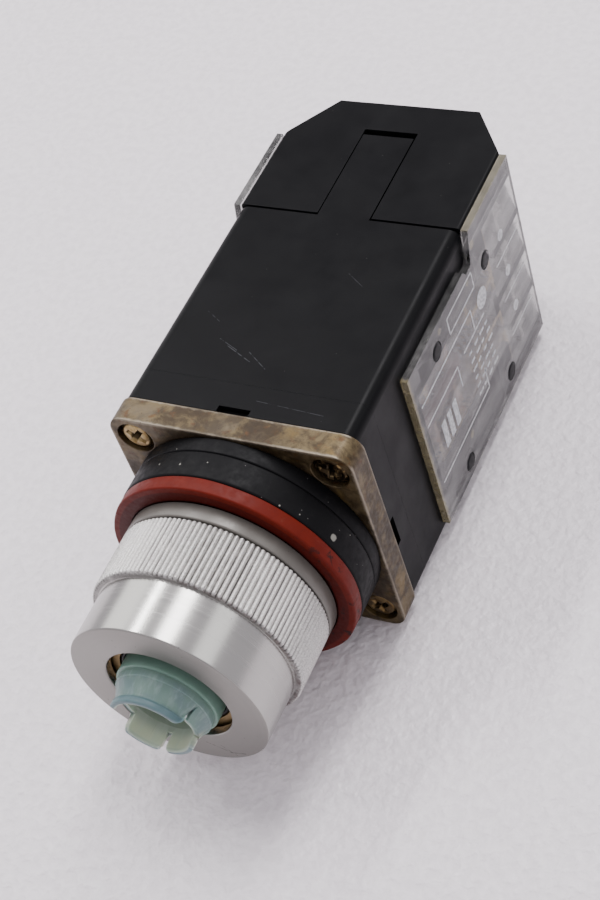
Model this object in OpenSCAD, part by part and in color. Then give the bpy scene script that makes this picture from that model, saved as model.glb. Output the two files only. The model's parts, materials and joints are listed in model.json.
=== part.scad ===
// Illuminated push-button operator with a lamp transformer and two side contact units.
// X points right, -Y to the front of the panel and Z up. The button slides along the Y axis,
// and y = 0 is the front face of the panel gasket, which seats on the back of the panel.

/* [Panel mounting] */
// Radius of the bushing over its thread crests, for a 30.5 mm panel hole
bushing_r = 15; // [14.6:0.1:15]
// Pitch of the bushing thread
thread_pitch = 1.5; // [1:0.25:2]
// Radius of the panel gasket and of the two rings behind it
collar_r = 20.3; // [19.5:0.1:20.4]
// Rear face of the panel gasket
gasket_rear = 2.4; // [1.5:0.1:3]
// Seam between the spacer ring and the flange ring
collar_seam = 7.2; // [5:0.1:8]
// Radius of the thrust washer
washer_r = 17.2; // [16.5:0.1:17.4]

/* [Guard ring] */
// Front face of the guard ring
ring_front = -22.45; // [-24:0.05:-21.5]
// Front end of the knurled band
knurl_front = -13.2; // [-15:0.1:-11]
// Rear face of the guard ring
ring_rear = -2.9; // [-3.4:0.1:-2.8]
// Radius of the smooth band
ring_r = 16; // [15.8:0.1:16.4]
// Radius over the knurl
knurl_r = 17.2; // [16.8:0.1:17.6]
// Radius of the opening round the button
ring_bore_r = 10.1; // [9.8:0.1:10.6]

/* [Button] */
// Radius of the plunger tube
plunger_r = 8.2; // [7.8:0.1:8.3]
// Inner radius of the plunger tube, which slides over the lamp socket
plunger_bore_r = 5.8; // [5.6:0.1:6]
// Radius of the neck that centres the lens cap
neck_r = 7.7; // [7.4:0.1:7.8]
// Shoulder that the lens cap seats on
shoulder_y = -23.1; // [-23.6:0.1:-22.6]
// Tips of the lens fingers
tip_y = -28.2; // [-29:0.1:-27]
// How far the button travels
travel = 5; // [4:0.5:5]

/* [Housing] */
// Side of the square base plate
plate_size = 41.3; // [41:0.1:43]
// Front face of the base plate
plate_front = 9.9; // [9.4:0.1:10.4]
// Rear face of the base plate
plate_rear = 14.45; // [14.2:0.05:14.8]
// Width of the housing
housing_w = 39.4; // [39:0.2:40.4]
// Height of the housing
housing_h = 41.3; // [40.9:0.2:41.9]
// Rear face of the front adapter
adapter_rear = 20.3; // [20:0.1:21]
// Joint between the main and rear housings
split_y = 57; // [56.5:0.1:57.5]
// Rear face of the rear housing
housing_rear = 84.5; // [83.5:0.5:86]
// Where the rear corner chamfers start
chamfer_y = 75; // [74:0.5:76]
// How far the rear corners are cut back across the width
chamfer_w = 6.9; // [5:0.1:7.5]
// Wall thickness of the housings
wall = 1.8; // [1.6:0.1:2]
// Thickness of the clear side covers
cover_t = 1.2; // [1:0.1:1.4]

/* [Hidden] */
$fn = 96;

gap = 0.05;
run_fit = 0.06;
thread_depth = 0.6;
bushing_front = -20.3;
chamber_r = 11.5;
chamber_y = 0.3;
flange_r = 17.5;
flange_rear = 16;
retainer_rear = 17;
step_y = 18.15;
actuator_rear = 20.4;
tube_end = 21.4;
stroke_stop = 25.5;
front_wall = 27;
cavity_y = 29.5;
socket_r = 5.3;
screw_pos = 16.55;
screw_r = 1.7;
screw_head_r = 2.9;
seal_r = 8.95;
seal_depth = 1.8;
button_flange_r = 11.2;
groove_r = 7.4;
step_r = 7.8;
clip_t = 0.7;
return_r = 9.9;
tongue_left = -5.2;
tongue_right = 4;
tongue_end = 76.6;
edge_r = 2;
rear_edge_r = 0.8;
seam_w = 0.45;
seam_depth = 0.6;

cavity_x = 12.4;
cavity_z = housing_h / 2 - wall;
cavity_rear = 71;
block_z = 17.3;
pocket_x = 13.9;
pocket_z = 9.8;
pocket_y = 31.5;
stem_in = 14.9;
stem_out = 18.1;
stem_z = 1.9;
stem_rear = 48.5;
slot_x = 18.2;
slot_z = 3.6;
bridge_t = 0.8;
nc_window = 36.9;
no_window = 42.3;
window_len = 4;
button_t = 0.6;
contact_z = 7;
contact_x = 16.5;
seat_y = 60.5;
channel_y = 62.3;
terminal_y = 64.3;
terminal_x = 16.7;
terminal_screw_r = 1.6;
clamp_rear = 69;
TERMINAL_Z = [-12.6, -4.2, 4.2, 12.6];
terminal_half = 3.5;
SUPPLY_X = [-5.2, 5.2];
supply_y = 74;
core_y = 42;
bobbin_x = 8.6;
bobbin_y = 3.75;
pin_r = 1.6;
pin_length = 5.8;
PIN_SPOTS = [[39.5, 11.9], [60.4, 11.3], [40.3, -15.6], [60.4, -15.1]];

// A solid of revolution about the Y axis, from points of radius and y
module turned(points) {
    rotate([-90, 0, 0])
        rotate_extrude()
            polygon(points);
}

// Extrudes an outline in X and Z from y0 to y1
module along_y(y0, y1) {
    translate([0, y1, 0])
        rotate([90, 0, 0])
            linear_extrude(height = y1 - y0)
                children();
}

// Extrudes an outline in Y and Z from x0 to x1
module along_x(x0, x1) {
    translate([x0, 0, 0])
        rotate([90, 0, 90])
            linear_extrude(height = x1 - x0)
                children();
}

module rod(r, y0, y1, x = 0, z = 0) {
    translate([x, y1, z])
        rotate([90, 0, 0])
            cylinder(r = r, h = y1 - y0);
}

module block(x0, x1, y0, y1, z0, z1) {
    translate([x0, y0, z0])
        cube([x1 - x0, y1 - y0, z1 - z0]);
}

module rounded_rect(w, h, r) {
    square([w - 2 * r, h], center = true);
    square([w, h - 2 * r], center = true);
    for (x = [-1, 1], z = [-1, 1])
        translate([x * (w / 2 - r), z * (h / 2 - r)])
            circle(r);
}

// A round-wire compression spring along Y
module coil(mean_r, wire_r, y0, y1, turns, x = 0, z = 0) {
    sides = 6;
    steps = turns * 16;
    pitch = (y1 - y0 - 2 * wire_r) / steps;
    points = [
        for (i = [0 : steps], j = [0 : sides - 1])
            let (a = 360 * turns * i / steps, b = 360 * j / sides, r = mean_r + wire_r * cos(b))
            [x + r * cos(a), y0 + wire_r + pitch * i + wire_r * sin(b), z + r * sin(a)]
    ];
    skin = [
        for (i = [0 : steps - 1], j = [0 : sides - 1])
            let (k = (j + 1) % sides)
            [i * sides + j, i * sides + k, (i + 1) * sides + k, (i + 1) * sides + j]
    ];
    first_cap = [[for (j = [sides - 1 : -1 : 0]) j]];
    last_cap = [[for (j = [0 : sides - 1]) steps * sides + j]];
    polyhedron(points, concat(first_cap, skin, last_cap));
}

// The part of a ring between two angles, measured from +X towards +Z
module sector(r, a0, a1) {
    mid = (a0 + a1) / 2;
    reach = 2 * r;
    polygon([
        [0, 0],
        [reach * cos(a0), reach * sin(a0)],
        [reach * cos(mid), reach * sin(mid)],
        [reach * cos(a1), reach * sin(a1)]
    ]);
}

// ---- Panel mounting ----

module base_plate() {
    color("#a59a72")
    difference() {
        along_y(plate_front, plate_rear) rounded_rect(plate_size, plate_size, 3);
        rod(bushing_r + gap, plate_front - 1, plate_rear + 1);
        for (x = [-1, 1], z = [-1, 1]) {
            rod(screw_head_r + 0.15, plate_front - 1, plate_front + 2, x * screw_pos, z * screw_pos);
            rod(screw_r + 0.1, plate_front, plate_rear + 1, x * screw_pos, z * screw_pos);
        }
    }
}

module threaded_bushing() {
    color("#8f7f4e")
    difference() {
        union() {
            rod(bushing_r, bushing_front, plate_rear);
            rod(flange_r, plate_rear, flange_rear);
        }
        for (y = [bushing_front + thread_pitch : thread_pitch : 0])
            turned([
                [bushing_r + 1, y - 0.9],
                [bushing_r + 1, y + 0.9],
                [bushing_r - thread_depth, y + 0.1],
                [bushing_r - thread_depth, y - 0.1]
            ]);
        rod(plunger_r + run_fit, bushing_front - 1, chamber_y + 1);
        rod(chamber_r, chamber_y, flange_rear + 1);
        rod(seal_r, bushing_front - 1, bushing_front + seal_depth);
    }
}

module plunger_seal() {
    color("#1c1c1e")
    turned([
        [plunger_r + run_fit, bushing_front + 0.3],
        [seal_r - 0.5, bushing_front + 0.1],
        [seal_r - gap, bushing_front + 0.5],
        [seal_r - gap, bushing_front + seal_depth],
        [plunger_r + run_fit, bushing_front + seal_depth]
    ]);
}

module panel_gasket() {
    rib_front = -1.15;
    rib_r = 15.6;
    color("#8c3a26")
    turned([
        [bushing_r + gap, rib_front],
        [rib_r, rib_front],
        [rib_r + 0.3, 0.3],
        [washer_r + 0.15, 0.3],
        [washer_r + 0.25, 0],
        [collar_r - 0.3, 0],
        [collar_r, 0.3],
        [collar_r, gasket_rear],
        [bushing_r + gap, gasket_rear]
    ]);
}

module collar_section(y0, y1) {
    bevel = 0.4;
    turned([
        [bushing_r + gap, y0],
        [collar_r - bevel, y0],
        [collar_r, y0 + bevel],
        [collar_r, y1 - bevel],
        [collar_r - bevel, y1],
        [bushing_r + gap, y1]
    ]);
}

module spacer_ring() {
    color("#2c2c2e") collar_section(gasket_rear, collar_seam);
}

module flange_ring() {
    color("#27272a") collar_section(collar_seam, plate_front);
}

module plate_screw() {
    cross_r = 1.9;
    cross_w = 0.45;
    difference() {
        union() {
            rod(screw_head_r, plate_front + 0.25, plate_front + 1.9);
            rod(screw_r, plate_front + 1, pocket_y - 2.5);
        }
        block(-cross_r, cross_r, plate_front, plate_front + 1.4, -cross_w, cross_w);
        block(-cross_w, cross_w, plate_front, plate_front + 1.4, -cross_r, cross_r);
    }
}

module plate_screws() {
    color("#c2a85a")
    for (x = [-1, 1], z = [-1, 1])
        translate([x * screw_pos, 0, z * screw_pos])
            plate_screw();
}

module spring_retainer() {
    color("#b9b9b6")
    difference() {
        rod(flange_r, flange_rear, retainer_rear);
        rod(8.5, flange_rear - 1, retainer_rear + 1);
    }
}

// The washer's rim reaches back over the rib of the gasket
module thrust_washer() {
    front = -2.7;
    seat = -1.2;
    rim_rear = -0.1;
    rim_bore = 16.05;
    color("#a5a59b")
    turned([
        [bushing_r + run_fit, front],
        [washer_r - 0.2, front],
        [washer_r, front + 0.2],
        [washer_r, rim_rear],
        [rim_bore, rim_rear],
        [rim_bore, seat],
        [bushing_r + run_fit, seat]
    ]);
}

module guard_ring() {
    lip_rear = bushing_front - 0.5;
    color("#c9c9cc")
    turned([
        [ring_bore_r, ring_front + 0.2],
        [ring_bore_r + 0.2, ring_front],
        [ring_r - 0.4, ring_front],
        [ring_r, ring_front + 0.4],
        [ring_r, knurl_front - 0.3],
        [knurl_r, knurl_front + 0.4],
        [knurl_r, ring_rear - 0.5],
        [knurl_r - 0.5, ring_rear],
        [bushing_r + run_fit, ring_rear],
        [bushing_r + run_fit, lip_rear],
        [ring_bore_r, lip_rear]
    ]);
}

// ---- Button ----

module plunger() {
    neck_front = shoulder_y - 1.2;
    slit_rear = shoulder_y - 2.1;
    short_front = shoulder_y - 3.8;
    sleeve_r = neck_r - 0.15;
    finger_r = 6.5;
    lip_r = 6.8;
    flange_front = chamber_y + 0.1;
    color("#5f9a8c")
    difference() {
        turned([
            [plunger_bore_r, tip_y],
            [lip_r - 0.4, tip_y],
            [lip_r, tip_y + 0.4],
            [lip_r, tip_y + 1],
            [finger_r, tip_y + 1.3],
            [sleeve_r, neck_front],
            [neck_r, neck_front],
            [neck_r, shoulder_y],
            [plunger_r - 0.3, shoulder_y],
            [plunger_r, shoulder_y + 0.3],
            [plunger_r, flange_front],
            [button_flange_r, flange_front],
            [button_flange_r, flange_front + 2],
            [plunger_r, flange_front + 2],
            [plunger_r, step_y],
            [step_r, step_y],
            [step_r, actuator_rear],
            [groove_r, actuator_rear],
            [groove_r, actuator_rear + clip_t],
            [step_r, actuator_rear + clip_t],
            [step_r, tube_end],
            [plunger_bore_r, tube_end]
        ]);
        along_y(tip_y - 1, slit_rear) sector(neck_r, 155, 207);
        along_y(tip_y - 1, slit_rear) sector(neck_r, 263, 271);
        along_y(tip_y - 1, short_front) sector(neck_r, 334, 382);
        along_y(tip_y - 1, slit_rear) sector(neck_r, 382, 386);
    }
}

module actuator() {
    arm_x = 17.9;
    arm_z = 3.2;
    color("#303236")
    difference() {
        union() {
            rod(12.4, step_y, actuator_rear);
            block(-arm_x, arm_x, step_y, actuator_rear, -arm_z, arm_z);
        }
        rod(step_r + gap, step_y - 1, actuator_rear + 1);
    }
}

module retaining_clip() {
    clip_r = 9.6;
    color("#8a8a8c")
    difference() {
        rod(clip_r, actuator_rear, actuator_rear + clip_t);
        rod(groove_r + gap, actuator_rear - 1, actuator_rear + 2);
        along_y(actuator_rear - 1, actuator_rear + 2) sector(clip_r, 240, 300);
    }
}

module return_spring() {
    color("#b0b2b4") coil(return_r, 0.5, chamber_y + 2.1, flange_rear, 5);
}

// ---- Lamp ----

module lamp_socket() {
    color("#c8a24a")
    difference() {
        union() {
            rod(socket_r, -5, cavity_y + 0.5);
            rod(11.5, cavity_y, cavity_y + 1);
        }
        rod(4.75, -6, cavity_y + 2);
        block(-0.8, 0.8, -6, -1, -6, 6);
    }
}

module socket_insulator() {
    color("#6b3f22")
    difference() {
        rod(4.7, 13, cavity_y + 1);
        rod(1, 12, cavity_y + 2);
    }
}

module socket_contact() {
    color("#caa24c") {
        rod(2.4, 6.1, 7);
        rod(0.9, 7, cavity_y + 1);
    }
}

module socket_spring() {
    color("#b0b2b4") coil(1.9, 0.3, 7, 13, 5);
}

module lamp_base() {
    color("#c2a14a") {
        rod(4.6, -7, 5.5);
        rod(2, 5.5, 6);
        translate([0, -2, -5.2])
            cylinder(r = 0.6, h = 10.4);
    }
}

module lamp_bulb() {
    glass_r = 4.8;
    color("#dfe6e8")
    turned(concat(
        [[0, -7], [4.3, -7], [glass_r, -8.5]],
        [for (a = [0 : 10 : 90]) [glass_r * cos(a), -13 - glass_r * sin(a)]]
    ));
}

// ---- Transformer ----

module transformer_core() {
    core_x = 8.5;
    core_z = 13;
    leg = 3.7;
    window = 7.7;
    color("#55585c")
    difference() {
        block(-core_x, core_x, core_y - 11, core_y + 11, -core_z, core_z);
        for (y = [core_y - window, core_y + leg])
            block(-core_x - 1, core_x + 1, y, y + window - leg, -bobbin_x, bobbin_x);
    }
}

// A square tube round the middle leg of the core
module coil_layer(x, y, z0, z1, bore_x, bore_y) {
    difference() {
        block(-x, x, core_y - y, core_y + y, z0, z1);
        block(-bore_x, bore_x, core_y - bore_y, core_y + bore_y, z0 - 1, z1 + 1);
    }
}

module winding(z0, z1) {
    coil_layer(11.7, 7.3, z0, z1, 9.55, 4.65);
}

module transformer_bobbin() {
    color("#d8d2bd") {
        coil_layer(9.5, 4.6, -8.4, 8.4, bobbin_x, bobbin_y);
        coil_layer(12, 7.6, -8.4, -7.6, bobbin_x, bobbin_y);
        coil_layer(12, 7.6, -0.3, 0.3, bobbin_x, bobbin_y);
        coil_layer(12, 7.6, 7.6, 8.4, bobbin_x, bobbin_y);
    }
}

module primary_winding() {
    color("#b5622e") winding(-7.55, -0.35);
}

module secondary_winding() {
    color("#d8b13c") winding(0.35, 7.55);
}

module lamp_leads() {
    color("#7a2d22")
    for (x = [-1, 1])
        rod(0.7, cavity_y + 1, core_y - 7.3, x * 10.4, 4);
}

// ---- Housings ----

module screw_holes(y0, y1) {
    for (x = [-1, 1], z = [-1, 1])
        rod(screw_r + gap, y0, y1, x * screw_pos, z * screw_pos);
}

// The slot that the arms of the actuator move in
module arm_slot(y0, y1) {
    block(-slot_x, slot_x, y0, y1, -slot_z, slot_z);
}

module front_adapter() {
    notch_y = plate_rear - 1;
    top_notch_rear = plate_rear + 1.2;
    side_notch_rear = plate_rear + 2.3;
    top = housing_h / 2;
    side = housing_w / 2;
    color("#222326")
    difference() {
        along_y(plate_rear, adapter_rear) rounded_rect(housing_w, housing_h, edge_r);
        rod(flange_r + gap, plate_rear - 1, adapter_rear + 1);
        arm_slot(plate_rear - 1, adapter_rear + 1);
        screw_holes(plate_rear - 1, adapter_rear + 1);
        for (z = [0, 1])
            mirror([0, 0, z])
                block(-3.4, 2, notch_y, top_notch_rear, top - 1.1, top + 0.1);
        for (x = [0, 1])
            mirror([x, 0, 0])
                block(side - 1, side + 0.2, notch_y, side_notch_rear, -7, -1);
    }
}

// A pocket on each long side, open to the outside
module side_pocket(y0, y1, z0, z1, x0 = pocket_x) {
    for (side = [0, 1])
        mirror([side, 0, 0])
            block(x0, housing_w / 2 + 2, y0, y1, z0, z1);
}

module pin_holes() {
    for (spot = PIN_SPOTS, x = [-1, 1])
        translate([x * 18.2, spot[0], spot[1]])
            rotate([0, 90, 0])
                cylinder(r = pin_r + gap, h = 8, center = true);
}

// The snap tongues at the top and the bottom, or with gaps the slots that they enter
module tongue_blocks(side_gap, end_gap) {
    depth = wall + side_gap;
    for (z = [0, 1])
        mirror([0, 0, z])
            block(
                tongue_left - side_gap, tongue_right + side_gap,
                split_y - 1, tongue_end + end_gap,
                housing_h / 2 - depth, housing_h / 2
            );
}

module main_housing() {
    stem_slot_x = 1.75;
    stem_slot_z = stem_z + 0.15;
    color("#1f2023")
    difference() {
        union() {
            along_y(adapter_rear, split_y) rounded_rect(housing_w, housing_h, edge_r);
            tongue_blocks(0, 0);
        }
        rod(13, adapter_rear - 1, stroke_stop);
        arm_slot(adapter_rear - 1, stroke_stop);
        rod(10, stroke_stop - 1, front_wall);
        rod(socket_r + gap, front_wall - 1, cavity_y + 1);
        block(-cavity_x, cavity_x, cavity_y, split_y + 1, -cavity_z, cavity_z);
        side_pocket(pocket_y, split_y + 1, -pocket_z, pocket_z);
        for (x = [-1, 1])
            translate([x * contact_x, 0, 0])
                block(-stem_slot_x, stem_slot_x, stroke_stop - 1, pocket_y + 1, -stem_slot_z, stem_slot_z);
        screw_holes(adapter_rear - 1, pocket_y - 2.3);
        pin_holes();
    }
}

// Outline of the rear length as seen from above, with its two cut corners
module rear_outline(z) {
    half_w = housing_w / 2;
    translate([0, 0, -z])
        linear_extrude(height = 2 * z)
            polygon([
                [-half_w, split_y],
                [half_w, split_y],
                [half_w, chamfer_y],
                [half_w - chamfer_w, housing_rear],
                [chamfer_w - half_w, housing_rear],
                [-half_w, chamfer_y]
            ]);
}

module rear_housing() {
    seam_w2 = 2 * seam_depth;
    color("#232427")
    difference() {
        intersection() {
            union() {
                along_y(split_y, split_y + 1)
                    rounded_rect(housing_w - seam_w2, housing_h - seam_w2, rear_edge_r);
                along_y(split_y + seam_w, housing_rear)
                    rounded_rect(housing_w, housing_h, rear_edge_r);
            }
            rear_outline(housing_h);
        }
        block(-cavity_x, cavity_x, split_y - 1, cavity_rear, -cavity_z, cavity_z);
        side_pocket(split_y - 1, housing_rear + 1, -block_z - gap, block_z + gap, cavity_x);
        tongue_blocks(0.2, 1.3);
        for (x = SUPPLY_X)
            block(x - 4.2, x + 4.2, supply_y, housing_rear + 1, -6, 6);
    }
}

// The moulding on one side that holds the fixed contacts and the four terminals
module contact_block() {
    spring_post = 2;
    rib = 0.9;
    outer_z = TERMINAL_Z[3] + terminal_half;
    difference() {
        intersection() {
            block(cavity_x + gap, housing_w / 2, split_y, housing_rear, -block_z, block_z);
            rear_outline(block_z);
        }
        side_pocket(split_y - 1, seat_y, -pocket_z, pocket_z);
        for (z = [0, 1])
            mirror([0, 0, z]) {
                side_pocket(seat_y - 0.1, channel_y, spring_post, pocket_z);
                side_pocket(channel_y - 0.1, terminal_y, rib, outer_z);
            }
        for (z = TERMINAL_Z)
            side_pocket(terminal_y - 0.1, housing_rear + 1, z - terminal_half, z + terminal_half);
        pin_holes();
    }
}

module contact_block_right() {
    color("#2a2b2e") contact_block();
}

module contact_block_left() {
    color("#2a2b2e") mirror([1, 0, 0]) contact_block();
}

module clear_cover() {
    difference() {
        along_x(housing_w / 2, housing_w / 2 + cover_t)
            polygon([
                [29.2, -18.1],
                [chamfer_y, -18.6],
                [chamfer_y, 20.6],
                [split_y + 0.2, 20.6],
                [55.6, 14.8],
                [53.5, 14.8],
                [52.5, 16],
                [29.2, 16]
            ]);
        pin_holes();
    }
}

module clear_cover_right() {
    color("#b9bdb0", 0.5) clear_cover();
}

module clear_cover_left() {
    color("#b9bdb0", 0.5) mirror([1, 0, 0]) clear_cover();
}

module cover_pins() {
    reach = housing_w / 2 + cover_t + 0.1;
    color("#1a1a1c")
    for (spot = PIN_SPOTS, x = [0, 1])
        mirror([x, 0, 0])
            translate([reach - pin_length, spot[0], spot[1]])
                rotate([0, 90, 0])
                    cylinder(r = pin_r, h = pin_length);
}

// ---- Contacts ----

module contact_button(y0, y1, z) {
    rod(1.2, y0, y1, contact_x, z);
}

// Fixed strips of one side: the outer pair is closed at rest, the inner pair when pressed
module fixed_contacts() {
    x0 = 14.3;
    x1 = 18.7;
    nc_rear = nc_window - button_t - 0.1;
    nc_pad = nc_rear - button_t;
    no_front = no_window + window_len + button_t + travel + 0.1;
    no_pad = no_front + button_t;
    tab_front = 63;
    tab_rear = tab_front + 1;
    strip_t = 0.8;
    nc_strip = [8.6, 8.6 + strip_t];
    nc_foot_z = 5.6;
    nc_tab_z = 15.8;
    no_strip = [3.8, 3.8 + strip_t];
    no_foot_z = 8.2;
    no_tab = [1, 7.4];
    difference() {
        for (z = [0, 1])
            mirror([0, 0, z]) {
                contact_button(nc_pad, nc_rear, contact_z);
                block(x0, x1, nc_pad - strip_t, nc_pad, nc_foot_z, nc_strip[1]);
                block(x0, x1, nc_pad - strip_t, tab_rear, nc_strip[0], nc_strip[1]);
                block(x0, x1, tab_front, tab_rear, nc_strip[0], nc_tab_z);
                contact_button(no_front, no_pad, contact_z);
                block(x0, x1, no_pad, no_pad + strip_t, no_strip[0], no_foot_z);
                block(x0, x1, no_pad, tab_rear, no_strip[0], no_strip[1]);
                block(x0, x1, tab_front, tab_rear, no_tab[0], no_tab[1]);
            }
        for (z = TERMINAL_Z)
            rod(terminal_screw_r + 0.05, tab_front - 0.3, tab_rear + 1, terminal_x, z);
    }
}

module fixed_contacts_right() {
    color("#c9a85c") fixed_contacts();
}

module fixed_contacts_left() {
    color("#c9a85c") mirror([1, 0, 0]) fixed_contacts();
}

module terminal_clamps() {
    front = clamp_rear - 1;
    half = 2.9;
    color("#bfc1c2")
    for (side = [0, 1], z = TERMINAL_Z)
        mirror([side, 0, 0])
            difference() {
                block(14.2, 19.2, front, clamp_rear, z - half, z + half);
                rod(terminal_screw_r + 0.1, front - 1, clamp_rear + 1, terminal_x, z);
            }
}

module slotted_screw(head_r, shaft_r, shaft_front, head_front, head_rear) {
    difference() {
        union() {
            rod(head_r, head_front, head_rear);
            rod(shaft_r, shaft_front, head_front + 0.5);
        }
        block(-head_r, head_r, head_rear - 0.8, head_rear + 1, -0.4, 0.4);
    }
}

module terminal_screws() {
    color("#c8cacb")
    for (side = [-1, 1], z = TERMINAL_Z)
        translate([side * terminal_x, 0, z])
            slotted_screw(2.4, terminal_screw_r, clamp_rear - 6.3, clamp_rear, clamp_rear + 2);
}

module supply_terminals() {
    color("#c9a85c")
    for (x = SUPPLY_X)
        difference() {
            block(x - 3.6, x + 3.6, supply_y, supply_y + 1, -4.5, 4.5);
            rod(terminal_screw_r + 0.05, supply_y - 1, supply_y + 2, x);
        }
}

module supply_screws() {
    color("#c8cacb")
    for (x = SUPPLY_X)
        translate([x, 0, 0])
            slotted_screw(2.9, terminal_screw_r, supply_y, supply_y + 2.5, supply_y + 4.5);
}

module contact_carrier() {
    window_half = 1;
    color("#7c2f2a")
    difference() {
        block(stem_in, stem_out, actuator_rear + 0.1, stem_rear, -stem_z, stem_z);
        for (y = [nc_window, no_window])
            block(contact_x - window_half, contact_x + window_half, y, y + window_len, -stem_z - 1, stem_z + 1);
    }
}

module bridge(y, button_y) {
    half_w = 0.9;
    half_l = 8.2;
    block(contact_x - half_w, contact_x + half_w, y, y + bridge_t, -half_l, half_l);
    for (z = [-contact_z, contact_z])
        contact_button(button_y, button_y + button_t, z);
}

module contact_bridges() {
    no_rear = no_window + window_len;
    color("#c7924f") {
        bridge(nc_window, nc_window - button_t);
        bridge(no_rear - bridge_t, no_rear);
    }
}

module bridge_springs() {
    color("#b0b2b4") {
        coil(0.7, 0.2, nc_window + bridge_t, nc_window + window_len, 4, contact_x);
        coil(0.7, 0.2, no_window, no_window + window_len - bridge_t, 4, contact_x);
    }
}

module carrier_spring() {
    color("#b0b2b4") coil(1.5, 0.3, stem_rear, seat_y, 6, contact_x);
}

module contact_carrier_right() {
    contact_carrier();
}

module contact_carrier_left() {
    mirror([1, 0, 0]) contact_carrier();
}

module contact_bridges_right() {
    contact_bridges();
}

module contact_bridges_left() {
    mirror([1, 0, 0]) contact_bridges();
}

module bridge_springs_right() {
    bridge_springs();
}

module bridge_springs_left() {
    mirror([1, 0, 0]) bridge_springs();
}

module carrier_spring_right() {
    carrier_spring();
}

module carrier_spring_left() {
    mirror([1, 0, 0]) carrier_spring();
}

base_plate();
threaded_bushing();
plunger_seal();
panel_gasket();
spacer_ring();
flange_ring();
plate_screws();
spring_retainer();
front_adapter();
main_housing();
rear_housing();
contact_block_right();
contact_block_left();
clear_cover_right();
clear_cover_left();
cover_pins();
transformer_core();
transformer_bobbin();
primary_winding();
secondary_winding();
lamp_leads();
lamp_socket();
socket_insulator();
socket_contact();
socket_spring();
lamp_bulb();
lamp_base();
fixed_contacts_right();
fixed_contacts_left();
terminal_clamps();
terminal_screws();
supply_terminals();
supply_screws();
plunger();
actuator();
retaining_clip();
return_spring();
contact_carrier_right();
contact_carrier_left();
contact_bridges_right();
contact_bridges_left();
bridge_springs_right();
bridge_springs_left();
carrier_spring_right();
carrier_spring_left();
thrust_washer();
guard_ring();
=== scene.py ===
import json
import math
import random

import bmesh
import bpy
from mathutils import Matrix, Quaternion, Vector


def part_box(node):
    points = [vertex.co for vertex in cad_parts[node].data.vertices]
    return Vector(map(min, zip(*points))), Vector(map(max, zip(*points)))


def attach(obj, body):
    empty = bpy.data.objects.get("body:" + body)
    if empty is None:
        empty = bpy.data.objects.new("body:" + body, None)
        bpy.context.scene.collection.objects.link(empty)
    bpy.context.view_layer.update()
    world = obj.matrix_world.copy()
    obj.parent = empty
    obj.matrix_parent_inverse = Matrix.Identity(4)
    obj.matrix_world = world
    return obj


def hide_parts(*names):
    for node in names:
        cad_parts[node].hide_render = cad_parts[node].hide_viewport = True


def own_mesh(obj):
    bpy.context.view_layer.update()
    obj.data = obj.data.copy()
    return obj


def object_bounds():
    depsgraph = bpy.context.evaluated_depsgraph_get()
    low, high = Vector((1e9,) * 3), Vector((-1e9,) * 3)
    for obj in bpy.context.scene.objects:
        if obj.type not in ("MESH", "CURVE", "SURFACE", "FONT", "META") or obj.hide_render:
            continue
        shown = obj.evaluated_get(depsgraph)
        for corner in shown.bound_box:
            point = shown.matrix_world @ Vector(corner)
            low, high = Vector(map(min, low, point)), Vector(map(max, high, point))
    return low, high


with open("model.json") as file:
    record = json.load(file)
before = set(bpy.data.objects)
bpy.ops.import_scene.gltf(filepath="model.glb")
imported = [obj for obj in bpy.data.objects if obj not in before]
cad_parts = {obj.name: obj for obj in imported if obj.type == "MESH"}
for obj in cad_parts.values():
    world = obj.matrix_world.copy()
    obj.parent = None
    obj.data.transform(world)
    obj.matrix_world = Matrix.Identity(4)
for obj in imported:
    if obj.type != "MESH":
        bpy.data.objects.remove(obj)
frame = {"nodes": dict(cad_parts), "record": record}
CAD_LOW, CAD_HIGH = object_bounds()

# Everything below is in metres, in the frame of the CAD part: the button's axis is the Y axis,
# -Y is the front, Z is up, and y = 0 is the front face of the panel gasket.
MM = 0.001
FLOOR_Z = CAD_LOW.z
FLOOR_HALF = 1.2

CAMERA_AT = Vector((128.95, -129.18, 212.56)) * MM
CAMERA_AZIMUTH = 39.83
CAMERA_ELEVATION = 46.60
CAMERA_ROLL = -21.00
CAMERA_LENS = 73.61
SENSOR = 36.0


# ---- Camera, floor and light ----

def direction(azimuth, elevation):
    """The unit vector from the object to a viewer at that azimuth and elevation."""
    a, e = math.radians(azimuth), math.radians(elevation)
    return Vector((math.sin(a) * math.cos(e), -math.cos(a) * math.cos(e), math.sin(e)))


def make_camera():
    data = bpy.data.cameras.new("camera")
    data.lens = CAMERA_LENS
    data.sensor_width = SENSOR
    data.clip_start = 0.01
    data.clip_end = 10.0
    camera = bpy.data.objects.new("camera", data)
    bpy.context.scene.collection.objects.link(camera)
    camera.rotation_mode = "QUATERNION"
    level = direction(CAMERA_AZIMUTH, CAMERA_ELEVATION).to_track_quat("Z", "Y")
    camera.rotation_quaternion = level @ Quaternion((0, 0, 1), math.radians(CAMERA_ROLL))
    camera.location = CAMERA_AT
    bpy.context.scene.camera = camera


def area_light(name, azimuth, elevation, distance, size, radiance, colour=(1, 1, 1)):
    """A softbox that faces the object. Its brightness is given as radiance, whatever its size."""
    data = bpy.data.lights.new(name, "AREA")
    data.shape = "RECTANGLE"
    data.size, data.size_y = size
    data.energy = radiance * math.pi * size[0] * size[1]
    data.color = colour
    light = bpy.data.objects.new(name, data)
    bpy.context.scene.collection.objects.link(light)
    towards = direction(azimuth, elevation)
    across = Vector((0, 1, 0)).cross(towards).normalized()
    facing = Matrix((across, towards.cross(across), towards)).transposed().to_4x4()
    centre = (CAD_LOW + CAD_HIGH) / 2
    light.matrix_world = Matrix.Translation(centre + towards * distance) @ facing


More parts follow.
